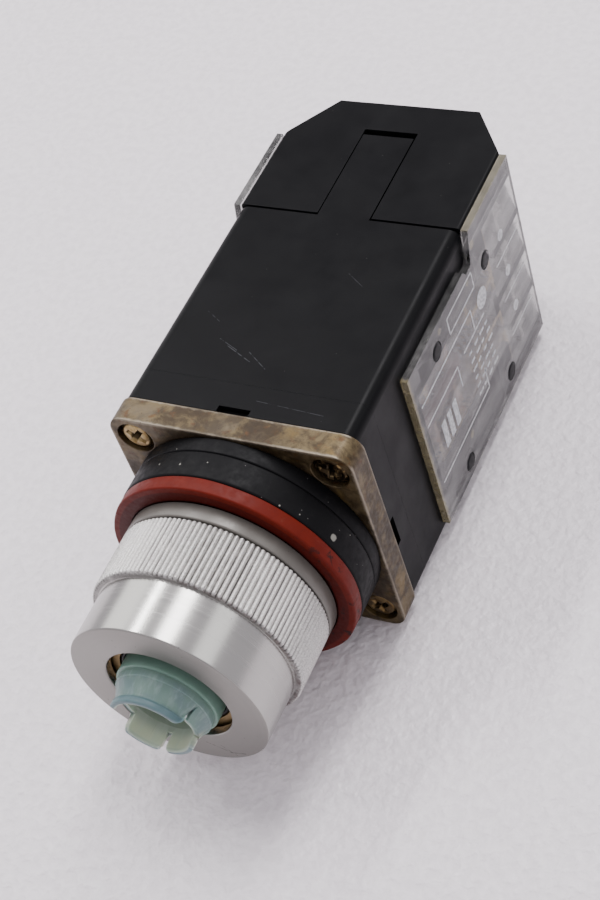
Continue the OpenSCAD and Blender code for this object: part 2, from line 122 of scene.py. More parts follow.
def make_lights():
    world = bpy.data.worlds.new("studio")
    world.use_nodes = True
    background = world.node_tree.nodes["Background"]
    background.inputs["Color"].default_value = (0.975, 0.93, 1.0, 1)
    background.inputs["Strength"].default_value = 0.78
    bpy.context.scene.world = world
    area_light("ceiling", 178, 66, 0.75, (0.20, 0.5), 15.0, (1.0, 0.98, 1.0))
    area_light("tube", -104, 58, 0.75, (0.055, 0.5), 30, (1.0, 0.99, 1.0))
    area_light("window", -112, 30, 0.8, (0.4, 0.4), 2.2, (1.0, 0.99, 0.97))
    area_light("wall", 112, 44, 0.8, (0.3, 0.6), 1.6, (1.0, 1.0, 1.0))


# ---- Materials ----

class Finish:
    """A node material built with short calls. Textures use object coordinates, in metres."""

    def __init__(self, name):
        self.material = bpy.data.materials.new(name)
        self.material.use_nodes = True
        self.tree = self.material.node_tree
        self.tree.nodes.clear()
        self.output = self.add("ShaderNodeOutputMaterial")
        self.shader = self.add("ShaderNodeBsdfPrincipled")
        self.join(self.shader.outputs[0], self.output.inputs["Surface"])
        self.place = self.add("ShaderNodeTexCoord").outputs["Object"]
        axes = self.add("ShaderNodeSeparateXYZ")
        self.join(self.place, axes.inputs[0])
        self.x, self.y, self.z = axes.outputs

    def add(self, kind, **settings):
        node = self.tree.nodes.new(kind)
        for key, value in settings.items():
            setattr(node, key, value)
        return node

    def join(self, source, target):
        if isinstance(source, bpy.types.NodeSocket):
            self.tree.links.new(source, target)
        else:
            target.default_value = source

    def put(self, **sockets):
        """Sets the shader's sockets: put(base_color=..., roughness=...)."""
        for key, value in sockets.items():
            socket = self.shader.inputs[key.replace("_", " ").title().replace("Ior", "IOR")]
            if isinstance(value, tuple) and len(value) == 3:
                value = (*value, 1.0) if socket.type == "RGBA" else value
            self.join(value, socket)

    def math(self, operation, a, b=0.0, c=0.0, clamp=False):
        node = self.add("ShaderNodeMath", operation=operation, use_clamp=clamp)
        for socket, value in zip(node.inputs, (a, b, c)):
            self.join(value, socket)
        return node.outputs[0]

    def times(self, a, b):
        return self.math("MULTIPLY", a, b)

    def plus(self, a, b):
        return self.math("ADD", a, b)

    def minus(self, a, b):
        return self.math("SUBTRACT", a, b)

    def inverse(self, a):
        return self.math("SUBTRACT", 1.0, a)

    def step(self, value, low, high):
        """0 below low and 1 above high, with a smooth change between."""
        node = self.add("ShaderNodeMapRange", interpolation_type="SMOOTHSTEP")
        self.join(value, node.inputs["Value"])
        node.inputs["From Min"].default_value = low
        node.inputs["From Max"].default_value = high
        return node.outputs["Result"]

    def span(self, value, low, high, to_low, to_high):
        node = self.add("ShaderNodeMapRange")
        self.join(value, node.inputs["Value"])
        for key, number in zip(("From Min", "From Max", "To Min", "To Max"), (low, high, to_low, to_high)):
            node.inputs[key].default_value = number
        return node.outputs["Result"]

    def stretch(self, scale, turn=(0, 0, 0)):
        """Coordinates turned and then scaled, for streaks and scratches."""
        turned = self.add("ShaderNodeMapping")
        self.join(self.place, turned.inputs["Vector"])
        turned.inputs["Rotation"].default_value = [math.radians(a) for a in turn]
        scaled = self.add("ShaderNodeMapping")
        self.join(turned.outputs[0], scaled.inputs["Vector"])
        scaled.inputs["Scale"].default_value = scale
        return scaled.outputs[0]

    def noise(self, size, detail=3.0, rough=0.55, vector=None, distort=0.0):
        """Noise with features of about that size, in metres, or over a vector scaled for it."""
        node = self.add("ShaderNodeTexNoise")
        self.join(vector or self.place, node.inputs["Vector"])
        node.inputs["Scale"].default_value = 1 / size if vector is None else 1.0
        node.inputs["Detail"].default_value = detail
        node.inputs["Roughness"].default_value = rough
        node.inputs["Distortion"].default_value = distort
        return node.outputs["Fac"]

    def noise_along(self, value, size, detail=2.0):
        """One-dimensional noise of a value, with features of about that size."""
        node = self.add("ShaderNodeTexNoise", noise_dimensions="1D")
        self.join(value, node.inputs["W"])
        node.inputs["Scale"].default_value = 1 / size
        node.inputs["Detail"].default_value = detail
        return node.outputs["Fac"]

    def specks(self, spacing, radius, share=0.5):
        """Small dots, in a share of the cells of that spacing: 1 in a dot and 0 outside."""
        node = self.add("ShaderNodeTexVoronoi", feature="F1")
        self.join(self.place, node.inputs["Vector"])
        node.inputs["Scale"].default_value = 1 / spacing
        near = self.inverse(self.step(node.outputs["Distance"], radius * 0.6, radius))
        pick = self.add("ShaderNodeSeparateColor")
        self.join(node.outputs["Color"], pick.inputs[0])
        return self.times(near, self.math("LESS_THAN", pick.outputs[0], share))

    def scratches(self, turn, length, width, share, patch=0.012):
        """Thin broken lines, where a slow noise allows them."""
        lines = self.noise(1, 1.5, 0.5, self.stretch((1 / length, 1 / width, 1 / length), turn))
        where = self.step(self.noise(patch, 1.0), 0.5, 0.62)
        return self.times(self.step(lines, 1 - share, 1 - share + 0.03), where)

    def mix(self, factor, a, b):
        node = self.add("ShaderNodeMix", data_type="RGBA")
        self.join(factor, node.inputs[0])
        for value, index in ((a, 6), (b, 7)):
            if isinstance(value, tuple) and len(value) == 3:
                value = (*value, 1.0)
            self.join(value, node.inputs[index])
        return node.outputs[2]

    def tint(self, base, colour, mask, share):
        """Paints a colour over the base, as strongly as that share where the mask is 1."""
        return self.mix(self.times(mask, share), base, colour)

    def bump(self, height, depth, strength=1.0, under=None):
        node = self.add("ShaderNodeBump")
        node.inputs["Strength"].default_value = strength
        node.inputs["Distance"].default_value = depth
        self.join(height, node.inputs["Height"])
        if under is not None:
            self.join(under, node.inputs["Normal"])
        return node.outputs[0]

    def radius(self):
        """Distance from the button's axis."""
        return self.length(self.x, self.z)

    def stroke(self, u, v, start, end, width):
        """A thin worn line from start to end, in millimetres on two of the axes."""
        du, dv = (end[0] - start[0]) * MM, (end[1] - start[1]) * MM
        pu = self.minus(u, start[0] * MM)
        pv = self.minus(v, start[1] * MM)
        reach = self.plus(self.times(pu, du), self.times(pv, dv))
        t = self.math("DIVIDE", reach, du * du + dv * dv, clamp=True)
        off = self.length(self.minus(pu, self.times(t, du)), self.minus(pv, self.times(t, dv)))
        near = self.inverse(self.step(off, width * 0.25 * MM, width * MM))
        worn = self.step(self.noise(0.8 * MM, 3), 0.36, 0.56)
        return self.times(near, worn)

    def most(self, *values):
        """The largest of several values."""
        top = values[0]
        for value in values[1:]:
            top = self.math("MAXIMUM", top, value)
        return top

    def spot(self, centre, radius):
        """1 inside a ball of that radius, in millimetres, with a slightly ragged edge."""
        off = self.add("ShaderNodeVectorMath", operation="DISTANCE")
        self.join(self.place, off.inputs[0])
        off.inputs[1].default_value = [c * MM for c in centre]
        ragged = self.times(self.noise(0.5 * MM, 2), radius * 0.5 * MM)
        reach = self.plus(off.outputs["Value"], ragged)
        return self.inverse(self.step(reach, radius * 0.95 * MM, radius * 1.25 * MM))

    def around(self):
        """A tangent that runs round the Y axis, as turning marks do."""
        return self.add("ShaderNodeTangent", direction_type="RADIAL", axis="Y").outputs[0]

    def length(self, a, b):
        """The length of the vector (a, b)."""
        return self.math("SQRT", self.plus(self.times(a, a), self.times(b, b)))


def plain_plastic(name, colour, rough=0.45, mottle=0.25, dust=0.0):
    """A moulded plastic or rubber, mottled, and dusty if asked."""
    f = Finish(name)
    dark = tuple(c * (1 - mottle) for c in colour)
    base = f.mix(f.noise(2.5 * MM, 4), dark, colour)
    if dust:
        base = f.tint(base, (0.55, 0.53, 0.5), f.specks(0.9 * MM, 0.09, dust), 0.7)
    f.put(base_color=base, roughness=f.span(f.noise(1.2 * MM, 3), 0.3, 0.7, rough - 0.08, rough + 0.1))
    f.put(normal=f.bump(f.noise(0.18 * MM, 2), 0.012 * MM, 0.5))
    return f.material


def plain_metal(name, colour, rough):
    """A brushed metal with tarnished patches."""
    tarnish = (0.3, 0.27, 0.22)
    f = Finish(name)
    patches = f.step(f.noise(1.6 * MM, 5, 0.65), 0.65, 1.0)
    base = f.mix(patches, colour, tuple(a * b for a, b in zip(colour, tarnish)))
    f.put(base_color=base, metallic=1.0)
    f.put(roughness=f.span(f.noise(0.7 * MM, 4), 0.3, 0.7, rough - 0.08, rough + 0.16))
    brushed = f.noise(1, 2, 0.5, f.stretch((9000, 400, 9000)))
    f.put(normal=f.bump(brushed, 0.006 * MM, 0.5))
    return f.material


def turned_aluminium():
    f = Finish("turned_aluminium")
    radius = f.radius()
    forward = f.times(f.y, -1.0)
    lathe_path = f.plus(f.y, radius)
    grooves = f.noise_along(lathe_path, 0.07 * MM, 2)
    broad = f.noise_along(lathe_path, 0.7 * MM, 2)
    on_knurl = f.times(f.step(radius, 16.1 * MM, 16.3 * MM), f.step(f.y, -13.6 * MM, -13.0 * MM))
    valley = f.inverse(f.step(radius, 16.80 * MM, 17.06 * MM))
    face = f.step(forward, 22.25 * MM, 22.4 * MM)
    base = f.mix(broad, (0.42, 0.415, 0.392), (0.48, 0.475, 0.452))
    # Painted shade: the front face gets a darker base than the band, as it turns away from the lamps.
    base = f.mix(face, base, f.mix(broad, (0.265, 0.257, 0.238), (0.31, 0.30, 0.28)))
    grain = f.step(f.noise(0.20 * MM, 3, 0.7), 0.3, 0.72)
    base = f.mix(on_knurl, base, f.mix(grain, (0.44, 0.43, 0.41), (0.80, 0.79, 0.765)))
    # Darker in the knurl valleys, in patches.
    knurl_valley_dark = f.times(f.times(on_knurl, valley), f.step(f.noise(2.2 * MM, 4), 0.15, 0.6))
    base = f.tint(base, (0.10, 0.092, 0.088), knurl_valley_dark, 0.75)
    stains = f.step(f.noise(5 * MM, 5, 0.6), 0.52, 0.75)
    base = f.tint(base, (0.25, 0.24, 0.23), stains, 0.14)
    pits = f.specks(1.3 * MM, 0.09, 0.16)
    base = f.tint(base, (0.05, 0.045, 0.045), pits, 0.7)
    # Painted shade: a thin dark purple-brown line on the front chamfer of the knurl, on the right of the
    # ring, the side away from the lamps.
    corner = f.times(f.step(forward, 12.95 * MM, 13.15 * MM), on_knurl)
    shaded_right_half = f.step(f.x, -2 * MM, 6 * MM)
    knurl_corner_shade = f.times(f.times(corner, shaded_right_half), f.step(f.noise(0.9 * MM, 4), 0.42, 0.6))
    base = f.tint(base, (0.10, 0.055, 0.05), knurl_corner_shade, 0.6)
    scars = f.most(
        f.stroke(f.x, f.z, (2.6, -11.6), (6.6, -12.9), 0.10),
        f.stroke(f.x, f.z, (5.2, -11.5), (7.4, -13.4), 0.08),
        f.stroke(f.x, f.z, (6.4, -13.0), (9.2, -12.2), 0.12),
        f.spot((6.6, -22.45, -14.9), 0.28),
    )
    base = f.tint(base, (0.05, 0.045, 0.045), f.times(scars, face), 0.85)
    rough = f.span(broad, 0.3, 0.7, 0.23, 0.28)
    rough = f.plus(rough, f.times(face, 0.20))
    rough = f.plus(rough, f.times(on_knurl, 0.14))
    rough = f.plus(rough, f.times(knurl_valley_dark, 0.2))
    f.put(base_color=base, metallic=1.0, roughness=rough)
    f.put(anisotropic=0.55, anisotropic_rotation=0.25, tangent=f.around())
    low = f.bump(grooves, 0.002 * MM, 0.4)
    low = f.bump(f.times(grain, on_knurl), 0.06 * MM, 0.6, low)
    f.put(normal=f.bump(f.noise(0.35 * MM, 3), 0.004 * MM, 0.3, low))
    return f.material


def yellow_zinc_plate():
    f = Finish("yellow_zinc_plate")
    cloud = f.noise(3.6 * MM, 6, 0.68, distort=0.5)
    base = f.mix(f.step(cloud, 0.40, 0.62), (0.042, 0.027, 0.010), (0.125, 0.092, 0.043))
    grey = f.step(f.noise(7 * MM, 4, 0.6), 0.5, 0.66)
    base = f.tint(base, (0.108, 0.090, 0.066), grey, 0.45)
    rust = f.step(f.noise(1.7 * MM, 5, 0.7), 0.54, 0.68)
    base = f.tint(base, (0.085, 0.034, 0.007), rust, 0.75)
    golden = f.step(f.noise(5 * MM, 4, 0.6), 0.53, 0.68)
    base = f.tint(base, (0.190, 0.128, 0.040), golden, 0.6)
    reach = f.most(f.math("ABSOLUTE", f.x), f.math("ABSOLUTE", f.z))
    frayed = f.plus(reach, f.times(f.noise(0.9 * MM, 4), 0.8 * MM))
    edge_y = f.math("ABSOLUTE", f.minus(f.y, 12.18 * MM))
    along = f.plus(edge_y, f.times(f.noise(0.8 * MM, 3), 0.7 * MM))
    worn = f.times(f.step(frayed, 20.5 * MM, 20.95 * MM), f.step(along, 2.1 * MM, 2.5 * MM))
    base = f.tint(base, (0.25, 0.215, 0.16), worn, 0.85)
    radius = f.radius()
    # Darker in patches round the collar.
    near_collar = f.inverse(f.step(radius, 20.5 * MM, 24.5 * MM))
    dark_near_collar = f.times(near_collar, f.step(f.noise(2.4 * MM, 5), 0.30, 0.58))
    base = f.tint(base, (0.022, 0.013, 0.006), dark_near_collar, 0.72)
    base = f.tint(base, (0.02, 0.014, 0.010), f.specks(0.8 * MM, 0.13, 0.3), 0.75)
    f.put(base_color=base, metallic=0.55)
    f.put(roughness=f.span(f.noise(0.8 * MM, 4), 0.3, 0.7, 0.36, 0.58))
    low = f.bump(f.noise(1.1 * MM, 4), 0.06 * MM, 0.45)
    f.put(normal=f.bump(f.noise(0.16 * MM, 3), 0.015 * MM, 0.6, low))
    return f.material


def black_housing():
    f = Finish("black_housing")
    base = f.mix(f.noise(9 * MM, 4), (0.0018, 0.0019, 0.0023), (0.0032, 0.0034, 0.0041))
    film = f.step(f.noise(11 * MM, 5, 0.62, distort=0.6), 0.46, 0.72)
    base = f.tint(base, (0.0070, 0.0072, 0.0080), film, 0.30)
    marks = f.most(
        f.stroke(f.x, f.y, (-7.5, 27.2), (-2.2, 24.6), 0.09),
        f.stroke(f.x, f.y, (-9.4, 28.4), (-5.6, 26.6), 0.06),
        f.stroke(f.x, f.y, (-3.4, 26.6), (0.6, 23.8), 0.07),
        f.stroke(f.x, f.y, (-14.0, 33.5), (-11.2, 31.8), 0.05),
        f.stroke(f.x, f.y, (2.0, 17.6), (13.5, 16.9), 0.05),
        f.stroke(f.x, f.y, (5.5, 45.2), (8.8, 42.9), 0.04),
    )
    fine = f.most(
        f.scratches((0, 0, 28), 5 * MM, 0.06 * MM, 0.24),
        f.scratches((0, 0, -52), 4 * MM, 0.05 * MM, 0.23, 9 * MM),
    )
    on_top = f.step(f.z, 20.3 * MM, 20.5 * MM)
    deep = f.times(marks, on_top)
    base = f.tint(base, (0.03, 0.03, 0.032), fine, 0.12)
    base = f.tint(base, (0.075, 0.078, 0.085), deep, 0.7)
    base = f.tint(base, (0.12, 0.115, 0.11), f.specks(1.7 * MM, 0.045, 0.3), 0.6)
    rough = f.span(f.noise(6 * MM, 5), 0.3, 0.7, 0.32, 0.46)
    f.put(base_color=base, roughness=f.plus(rough, f.times(fine, 0.12)))
    f.put(specular_ior_level=0.09)
    low = f.bump(f.noise(0.25 * MM, 2), 0.010 * MM, 0.5)
    f.put(normal=f.bump(fine, 0.008 * MM, 0.4, low))
    return f.material


# Places on the collar where something light has stuck, and their radii, in millimetres
COLLAR_SPOTS = [
    ((17.9, 3.9, 9.5), 0.62), ((-9.2, 4.9, 18.1), 0.16), ((-4.9, 4.5, 19.7), 0.2),
    ((-0.4, 5.3, 20.3), 0.14), ((11.6, 2.8, 16.6), 0.17), ((14.1, 3.3, 14.6), 0.13),
    ((-7.3, 7.6, 19.0), 0.12), ((18.9, 6.4, 7.2), 0.15),
]


def black_collar():
    f = Finish("black_collar")
    base = f.mix(f.noise(3 * MM, 4), (0.0022, 0.0022, 0.0026), (0.0050, 0.0050, 0.0057))
    dust = f.step(f.noise(2.4 * MM, 6, 0.7), 0.56, 0.8)
    base = f.tint(base, (0.024, 0.023, 0.022), dust, 0.35)
    base = f.tint(base, (0.16, 0.155, 0.145), f.specks(1.0 * MM, 0.085, 0.22), 0.8)
    blobs = f.most(*[f.spot(centre, radius) for centre, radius in COLLAR_SPOTS])
    base = f.tint(base, (0.24, 0.235, 0.205), blobs, 0.95)
    f.put(base_color=base, roughness=f.span(f.noise(1 * MM, 4), 0.3, 0.7, 0.4, 0.6))
    f.put(specular_ior_level=0.10)
    low = f.bump(f.noise(0.3 * MM, 3), 0.02 * MM, 0.5)
    f.put(normal=f.bump(blobs, 0.15 * MM, 0.5, low))
    return f.material


def red_gasket():
    f = Finish("red_gasket")
    radius = f.radius()
    base = f.mix(f.noise(1.6 * MM, 4), (0.085, 0.0042, 0.0010), (0.135, 0.0088, 0.0020))
    # Painted shade: the face darkens inside this radius, towards the washer.
    inner = f.inverse(f.step(radius, 19.0 * MM, 19.3 * MM))
    base = f.tint(base, (0.040, 0.0012, 0.0004), inner, 0.7)
    # Painted shade: darkest in the seat beside the washer.
    seat = f.inverse(f.step(radius, 17.3 * MM, 17.55 * MM))
    base = f.tint(base, (0.010, 0.002, 0.0015), seat, 0.75)
    smudge = f.step(f.noise(2.0 * MM, 6, 0.70, distort=0.5), 0.55, 0.64)
    side = f.step(f.minus(f.x, f.z), -4 * MM, 12 * MM)
    base = f.tint(base, (0.006, 0.004, 0.0035), f.times(smudge, side), 0.9)
    scuffs = f.step(f.noise(1.1 * MM, 5, 0.7), 0.60, 0.72)
    base = f.tint(base, (0.13, 0.030, 0.015), scuffs, 0.35)
    f.put(base_color=base, roughness=f.span(f.noise(0.9 * MM, 3), 0.3, 0.7, 0.40, 0.58))
    f.put(specular_ior_level=0.14)
    f.put(normal=f.bump(f.noise(0.22 * MM, 3), 0.018 * MM, 0.6))
    return f.material


def grey_washer():
    f = Finish("grey_washer")
    base = f.mix(f.noise(2 * MM, 5), (0.115, 0.108, 0.094), (0.165, 0.155, 0.138))
    base = f.tint(base, (0.03, 0.027, 0.024), f.specks(1.1 * MM, 0.09, 0.25), 0.7)
    f.put(base_color=base, roughness=f.span(f.noise(0.8 * MM, 3), 0.3, 0.7, 0.3, 0.44), metallic=0.25)
    f.put(normal=f.bump(f.noise_along(f.plus(f.y, f.radius()), 0.1 * MM), 0.006 * MM, 0.5))
    return f.material


# How far the base plate's screws stand from the button's axis, along X and along Z
SCREW_POS = 16.55
SCREW_HEAD_R = 2.9


def brass_screw():
    """Gold chromate on the heads, darker in the cross recesses and round the rims. One screw is nearly
    black.
    """
    f = Finish("brass_screw")
    off_x = f.minus(f.math("ABSOLUTE", f.x), SCREW_POS * MM)
    off_z = f.minus(f.math("ABSOLUTE", f.z), SCREW_POS * MM)
    radius = f.math("SQRT", f.plus(f.times(off_x, off_x), f.times(off_z, off_z)))
    base = f.mix(f.step(f.noise(1.1 * MM, 5, 0.6), 0.35, 0.7), (0.23, 0.155, 0.062), (0.42, 0.325, 0.165))
    low_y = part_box("plate_screws")[0].y
    # Darker in the cross recess and round the rim of each head.
    sunk = f.times(f.step(f.y, low_y + 0.35 * MM, low_y + 0.7 * MM),
                  f.inverse(f.step(radius, 2.0 * MM, 2.25 * MM)))
    rim = f.step(radius, 2.72 * MM, 2.86 * MM)
    base = f.tint(base, (0.030, 0.020, 0.010), f.most(sunk, rim), 0.9)
    corner = f.times(f.step(f.x, 0.0, 1 * MM), f.step(f.z, 0.0, 1 * MM))
    dirty = f.times(corner, f.step(f.noise(0.8 * MM, 4), 0.30, 0.50))
    base = f.tint(base, (0.022, 0.015, 0.009), dirty, 0.93)
    # The lower screws are darker.
    lower_screws_darker = f.times(f.step(f.times(f.z, -1.0), 0.0, 1 * MM), 0.65)
    base = f.mix(lower_screws_darker, base, (0.085, 0.052, 0.022))
    f.put(base_color=base, metallic=1.0, roughness=f.span(f.noise(0.7 * MM, 4), 0.3, 0.7, 0.28, 0.42))
    f.put(normal=f.bump(f.noise(0.3 * MM, 3), 0.012 * MM, 0.5))
    return f.material


def teal_plastic():
    """Translucent moulded plastic: light passes through the thin fingers, and less through the tube. The
    tips of the lower fingers and the inside of the bore also get a pale cream base, as painted light.
    """
    f = Finish("teal_plastic")
    forward = f.times(f.y, -1.0)
    neck = f.step(forward, 22.9 * MM, 24.2 * MM)
    tip = f.step(forward, 24.6 * MM, 26.6 * MM)
    below = f.inverse(f.step(f.z, -3.4 * MM, -1.4 * MM))
    lip = f.step(forward, 26.9 * MM, 27.2 * MM)
    end_face = f.step(forward, 28.0 * MM, 28.15 * MM)
    base = f.mix(f.noise(2.2 * MM, 4), (0.135, 0.235, 0.185), (0.180, 0.285, 0.235))
    base = f.mix(neck, base, f.mix(f.noise(1.8 * MM, 3), (0.150, 0.240, 0.205), (0.205, 0.300, 0.270)))
    bluish = f.times(f.step(f.noise(3 * MM, 2), 0.42, 0.62), neck)
    base = f.tint(base, (0.150, 0.215, 0.235), bluish, 0.5)
    # Painted light: the tips of the lower fingers get a pale cream base, for light that comes through
    # them.
    base = f.mix(f.times(tip, below), base, (0.50, 0.520, 0.405))
    streaks = f.step(f.noise(1, 3, 0.6, f.stretch((900, 60, 900))), 0.46, 0.72)
    pale = f.times(f.times(streaks, neck), 0.45)
    base = f.mix(pale, base, (0.34, 0.43, 0.42))
    base = f.mix(f.times(lip, f.span(below, 0, 1, 0.85, 0.0)), base, (0.085, 0.150, 0.168))
    base = f.tint(base, (0.24, 0.300, 0.320), f.times(f.step(forward, 27.5 * MM, 27.8 * MM), below), 0.7)
    base = f.tint(base, (0.12, 0.175, 0.190), end_face, 0.8)
    # Painted light: the inside of the bore gets a pale cream base, which brightens it where it lies in
    # shade.
    inside = f.inverse(f.step(f.radius(), 5.95 * MM, 6.2 * MM))
    inside = f.times(inside, f.step(forward, 18.5 * MM, 23 * MM))
    base = f.tint(base, (0.46, 0.520, 0.400), inside, 0.6)
    bits = f.specks(1.5 * MM, 0.07, 0.2)
    base = f.tint(base, (0.10, 0.09, 0.06), bits, 0.5)
    f.put(base_color=base, roughness=f.span(f.noise(0.9 * MM, 3), 0.3, 0.7, 0.30, 0.45))
    f.put(subsurface_weight=1.0, subsurface_radius=(0.85, 1.0, 0.92), specular_ior_level=0.28)
    f.shader.inputs["Subsurface Scale"].default_value = 1.6 * MM
    f.put(normal=f.bump(f.noise(0.5 * MM, 2), 0.02 * MM, 0.35))
    return f.material


# Amber stains beside the pins of the right cover, and their radii, in millimetres
AMBER_SPOTS = [
    ((20.9, 41.6, 14.2), 0.7), ((20.9, 43.0, -11.6), 0.8), ((20.9, 57.4, 17.5), 0.9),
    ((20.9, 53.2, 13.2), 0.7),
]


def clear_cover():
    """Yellowed clear plastic with a cloudy film. It lets most light through to the parts behind it."""
    f = Finish("clear_cover")
    film = f.step(f.noise(3.4 * MM, 5, 0.62, distort=0.6), 0.38, 0.70)
    bands = f.step(f.noise(1, 2, 0.5, f.stretch((200, 40, 420))), 0.44, 0.60)
    haze = f.plus(f.times(film, 0.45), f.times(bands, 0.55))
    lumps = f.times(f.noise(1.3 * MM, 3), 1.5 * MM)
    rim_y = f.plus(f.y, lumps)
    rim = f.inverse(f.step(rim_y, 30.2 * MM, 30.9 * MM))
    edge_z = f.plus(f.z, f.times(lumps, 0.5))
    right_side = f.step(f.x, 0.0, 1 * MM)
    top_edge = f.times(f.times(f.step(edge_z, 20.4 * MM, 21.0 * MM), 0.7), right_side)
    amber = f.most(*[f.spot(centre, radius) for centre, radius in AMBER_SPOTS])
    yellow = f.most(rim, top_edge, f.times(amber, 0.8))
    base = f.mix(haze, (0.50, 0.50, 0.49), (0.86, 0.85, 0.83))
    base = f.mix(yellow, base, (0.46, 0.40, 0.235))
    f.put(base_color=base, roughness=f.span(haze, 0, 1, 0.05, 0.22))
    clear = f.span(haze, 0, 1, 0.97, 0.83)
    f.put(transmission_weight=f.minus(clear, f.times(yellow, 0.30)))
    f.shader.inputs["IOR"].default_value = 1.40
    f.put(normal=f.bump(f.noise(2.6 * MM, 2), 0.05 * MM, 0.3))
    return f.material


def black_pin():
    """Dark pin heads, mottled, with lighter dusty patches."""
    f = Finish("black_pin")
    base = f.mix(f.noise(0.9 * MM, 4), (0.0045, 0.0045, 0.0052), (0.0105, 0.0105, 0.0115))
    dust = f.step(f.noise(0.7 * MM, 5), 0.58, 0.72)
    base = f.tint(base, (0.05, 0.048, 0.045), dust, 0.35)
    f.put(base_color=base, specular_ior_level=0.10)
    f.put(roughness=f.span(f.noise(0.8 * MM, 3), 0.3, 0.7, 0.32, 0.5))
    f.put(normal=f.bump(f.noise(0.3 * MM, 3), 0.02 * MM, 0.6))
    return f.material


def lamp_glass():
    f = Finish("lamp_glass")
    f.put(base_color=f.mix(f.noise(2 * MM), (0.9, 0.93, 0.93), (0.98, 0.99, 0.99)))
    f.put(roughness=f.span(f.noise(1.5 * MM, 2), 0.3, 0.7, 0.02, 0.08), transmission_weight=0.95)
    f.shader.inputs["IOR"].default_value = 1.5
    return f.material


def white_ink():
    f = Finish("white_ink")
    base = f.mix(f.step(f.noise(0.5 * MM, 4), 0.35, 0.6), (0.30, 0.31, 0.32), (0.58, 0.59, 0.60))
    f.put(base_color=base, roughness=0.5)
    f.put(normal=f.bump(f.noise(0.2 * MM, 2), 0.01 * MM, 0.4))
    return f.material


def foam_floor():
    f = Finish("floor")
    beads = f.noise(1.7 * MM, 1.5, 0.5, distort=0.2)
    fine = f.noise(0.7 * MM, 1.0)
    f.put(base_color=f.mix(f.step(beads, 0.3, 0.7), (0.825, 0.775, 0.808), (0.90, 0.85, 0.882)))
    f.put(roughness=f.span(f.noise(1.6 * MM, 2), 0.35, 0.65, 0.32, 0.5), specular_ior_level=0.4)
    low = f.bump(beads, 0.9 * MM, 0.5)
    f.put(normal=f.bump(fine, 0.2 * MM, 0.5, low))
    return f.material


# The parts that show in the main view have a finish of their own. The others have a plain one.
SPECIAL = {make.__name__: make for make in (
    yellow_zinc_plate, red_gasket, black_collar, brass_screw, black_housing, clear_cover,
    black_pin, lamp_glass, teal_plastic, grey_washer, turned_aluminium,
)}
METALS = {
    "bushing_zinc": ((0.30, 0.21, 0.10), 0.42),
    "plain_steel": ((0.58, 0.58, 0.57), 0.3),
    "core_steel": ((0.22, 0.22, 0.23), 0.45),
    "copper_winding": ((0.62, 0.27, 0.11), 0.28),
    "contact_brass": ((0.72, 0.53, 0.24), 0.28),
    "spring_steel": ((0.6, 0.6, 0.61), 0.24),
    "contact_copper": ((0.68, 0.38, 0.20), 0.3),
}
PLASTICS = {
    "black_rubber": ((0.02, 0.02, 0.021), 0.6, 0.4, 0.15),
    "cream_insulation": ((0.62, 0.56, 0.42), 0.5),
    "winding_tape": ((0.68, 0.47, 0.09), 0.3),
    "lead_insulation": ((0.28, 0.035, 0.025), 0.4),
    "brown_insulation": ((0.12, 0.05, 0.022), 0.45),
    "grey_moulding": ((0.05, 0.054, 0.058), 0.5),
    "carrier_plastic": ((0.19, 0.032, 0.025), 0.45),
}
made_finishes = {}


def finish_of(slot):
    """The material of a slot, made once."""
    if slot not in made_finishes:
        if slot in SPECIAL:
            made_finishes[slot] = SPECIAL[slot]()
        elif slot in METALS:
            made_finishes[slot] = plain_metal(slot, *METALS[slot])
        else:
            made_finishes[slot] = plain_plastic(slot, *PLASTICS[slot])
    return made_finishes[slot]


# ---- Mesh helpers, in millimetres ----

# The radius at which a turned solid closes on its axis
AXIS_R = 0.0001


def new_object(name, bm, smooth_angle=35):
    """An object from a bmesh, smooth apart from the edges sharper than that angle."""
    bmesh.ops.recalc_face_normals(bm, faces=bm.faces)
    for face in bm.faces:
        face.smooth = True
    sharp = math.radians(smooth_angle)
    for edge in bm.edges:
        if len(edge.link_faces) == 2 and edge.calc_face_angle(0) > sharp:
            edge.smooth = False
    mesh = bpy.data.meshes.new(name)
    bm.to_mesh(mesh)
    bm.free()
    made = bpy.data.objects.new(name, mesh)
    bpy.context.scene.collection.objects.link(made)
    return made


def fillet(points, radii, steps=4):
    """Rounds the corners of a closed outline, each by its own radius."""
    points = [Vector(point) for point in points]
    previous, following = points[-1:] + points[:-1], points[1:] + points[:1]
    rounded = []
    for before, here, after, radius in zip(previous, points, following, radii):
        into, out = before - here, after - here
        if radius <= 0:
            rounded.append(here)
            continue
        into.normalize()
        out.normalize()
        half = into.angle(out) / 2
        reach = radius / math.tan(half)
        middle = here + (into + out).normalized() * (radius / math.sin(half))
        start, end = here + into * reach - middle, here + out * reach - middle
        turn = start.angle_signed(end)
        for k in range(steps + 1):
            a = -turn * k / steps
            rounded.append(middle + Vector((
                start.x * math.cos(a) - start.y * math.sin(a),
                start.x * math.sin(a) + start.y * math.cos(a),
            )))
    return [(p.x, p.y) for p in rounded]


def skin(bm, rings):
    """Faces between each ring of vertices and the next."""
    for here, there in zip(rings, rings[1:]):
        for i in range(len(here)):
            j = (i + 1) % len(here)
            bm.faces.new((here[i], here[j], there[j], there[i]))


def lathe_into(bm, profile, segments, shape=None):
    """Turns a closed outline of (radius, y) in millimetres round the Y axis.

    shape(i, angle, radius) may change the radius of point i at that angle.
    """
    rings = []
    for k in range(segments):
        a = 2 * math.pi * k / segments
        ring = []
        for i, (radius, y) in enumerate(profile):
            r = (shape(i, a, radius) if shape else radius) * MM
            ring.append(bm.verts.new((r * math.cos(a), y * MM, r * math.sin(a))))
        rings.append(ring)
    skin(bm, rings + rings[:1])


